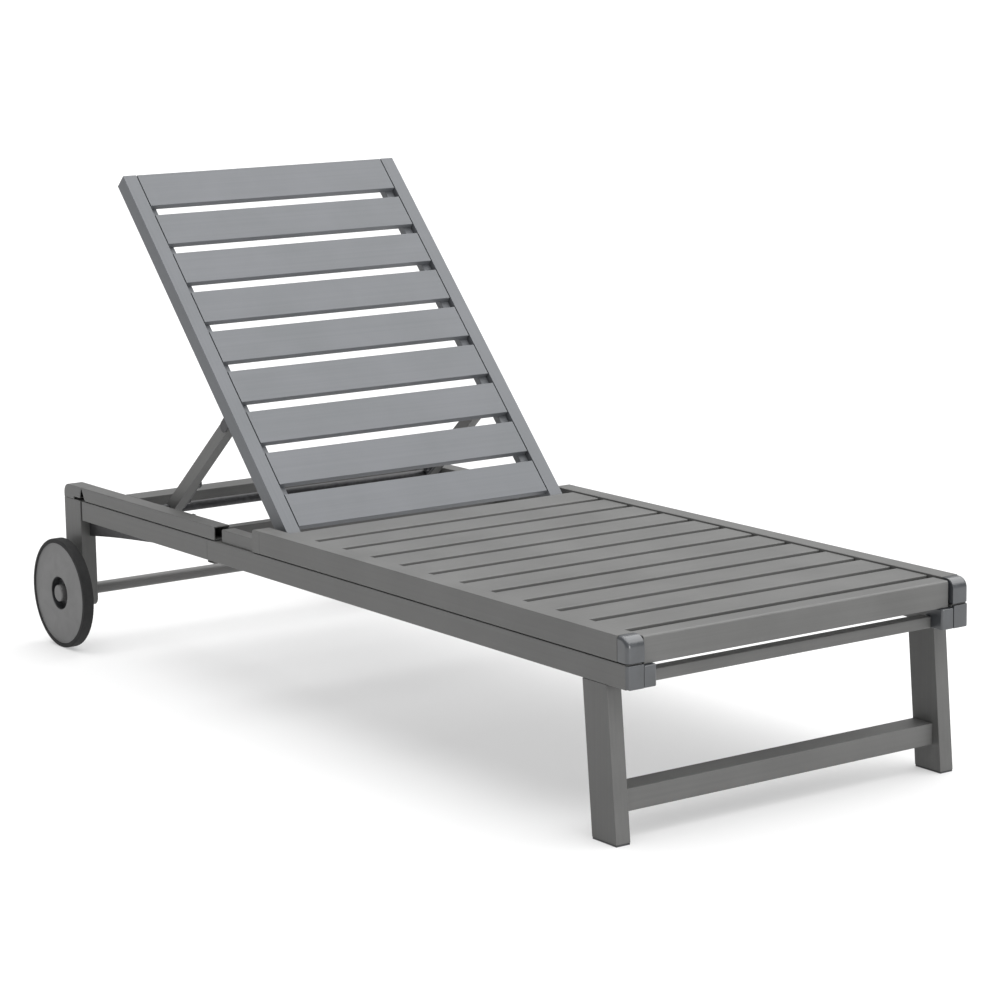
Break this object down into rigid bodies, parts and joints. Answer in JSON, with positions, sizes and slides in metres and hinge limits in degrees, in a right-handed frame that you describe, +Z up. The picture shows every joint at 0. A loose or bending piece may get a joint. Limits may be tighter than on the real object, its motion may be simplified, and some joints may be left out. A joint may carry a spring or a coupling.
{
  "type": "reclining sun lounger",
  "caption": "Slatted garden sun lounger on wheels with a reclining back held by a hinged prop over notched racks.",
  "frame": {"origin": "on the ground, under the middle of the overall box", "axes": "+X from the wheels to the foot end, +Y to the left of someone lying on it, +Z up"},
  "size_m": [1.884, 0.786, 0.929],
  "materials": {
    "frame_coating": "satin dark grey powder coat",
    "seat_slat_coating": "satin grey powder coat",
    "back_coating": "satin grey powder coat",
    "moulded_caps": "injection-moulded, semi-gloss",
    "dark_steel": "satin dark paint",
    "wheel_plastic": "moulded, matte",
    "tyre_rubber": "matte rubber band"
  },
  "bodies": {
    "frame": {"lower_rail_rear_left": "frame_coating", "lower_rail_rear_right": "frame_coating", "lower_rail_front_left": "frame_coating", "lower_rail_front_right": "frame_coating", "seat_rail_left": "frame_coating", "seat_rail_right": "frame_coating", "rear_rail_left": "frame_coating", "rear_rail_right": "frame_coating", "rail_end_caps": "moulded_caps", "foot_corner_blocks": "moulded_caps", "rail_connectors": "moulded_caps", "corner_braces": "dark_steel", "slat_ledgers": "frame_coating", "prop_racks": "dark_steel", "rear_leg_left": "frame_coating", "rear_leg_right": "frame_coating", "front_leg_left": "frame_coating", "front_leg_right": "frame_coating", "front_stretcher": "frame_coating", "foot_cross_rail": "frame_coating", "foot_apron": "seat_slat_coating", "rear_cross_rail": "frame_coating", "middle_cross_rail": "frame_coating", "seat_slat_1": "seat_slat_coating", "seat_slat_2": "seat_slat_coating", "seat_slat_3": "seat_slat_coating", "seat_slat_4": "seat_slat_coating", "seat_slat_5": "seat_slat_coating", "seat_slat_6": "seat_slat_coating", "seat_slat_7": "seat_slat_coating", "seat_slat_8": "seat_slat_coating", "seat_slat_9": "seat_slat_coating", "seat_slat_10": "seat_slat_coating", "seat_slat_11": "seat_slat_coating", "axle": "dark_steel", "axle_spacers": "frame_coating", "hub_nuts": "wheel_plastic", "rack_screws": "dark_steel", "pivot_bolts": "dark_steel"},
    "backrest": {"back_stile_left": "back_coating", "back_stile_right": "back_coating", "back_slat_1": "back_coating", "back_slat_2": "back_coating", "back_slat_3": "back_coating", "back_slat_4": "back_coating", "back_slat_5": "back_coating", "back_slat_6": "back_coating", "back_slat_7": "back_coating", "back_slat_8": "back_coating", "back_slat_9": "back_coating", "back_battens": "back_coating", "prop_hinges": "dark_steel"},
    "prop": {"prop_arm_left": "frame_coating", "prop_arm_right": "frame_coating", "prop_cross_tube": "dark_steel", "prop_shoes": "moulded_caps"},
    "wheel_left": {"wheel_disc_left": "wheel_plastic", "tyre_left": "tyre_rubber"},
    "wheel_right": {"wheel_disc_right": "wheel_plastic", "tyre_right": "tyre_rubber"}
  },
  "joints": [
    {"name": "backrest_recline", "type": "hinge", "parent": "frame", "child": "backrest", "pos_m": [-0.1183, 0, 0.3155], "axis": [0, 1, 0], "range_deg": [-44, 18]},
    {"name": "prop_swing", "type": "hinge", "parent": "backrest", "child": "prop", "pos_m": [-0.32388, 0, 0.4927], "axis": [0, 1, 0], "range_deg": [-30, 73]},
    {"name": "wheel_spin_left", "type": "hinge", "parent": "frame", "child": "wheel_left", "pos_m": [-0.834, 0.381, 0.108], "axis": [0, 1, 0], "continuous": true},
    {"name": "wheel_spin_right", "type": "hinge", "parent": "frame", "child": "wheel_right", "pos_m": [-0.834, -0.381, 0.108], "axis": [0, 1, 0], "continuous": true}
  ],
  "couplings": [
    {"joint": "prop_swing", "follows": "backrest_recline", "ratio": -1.65}
  ]
}
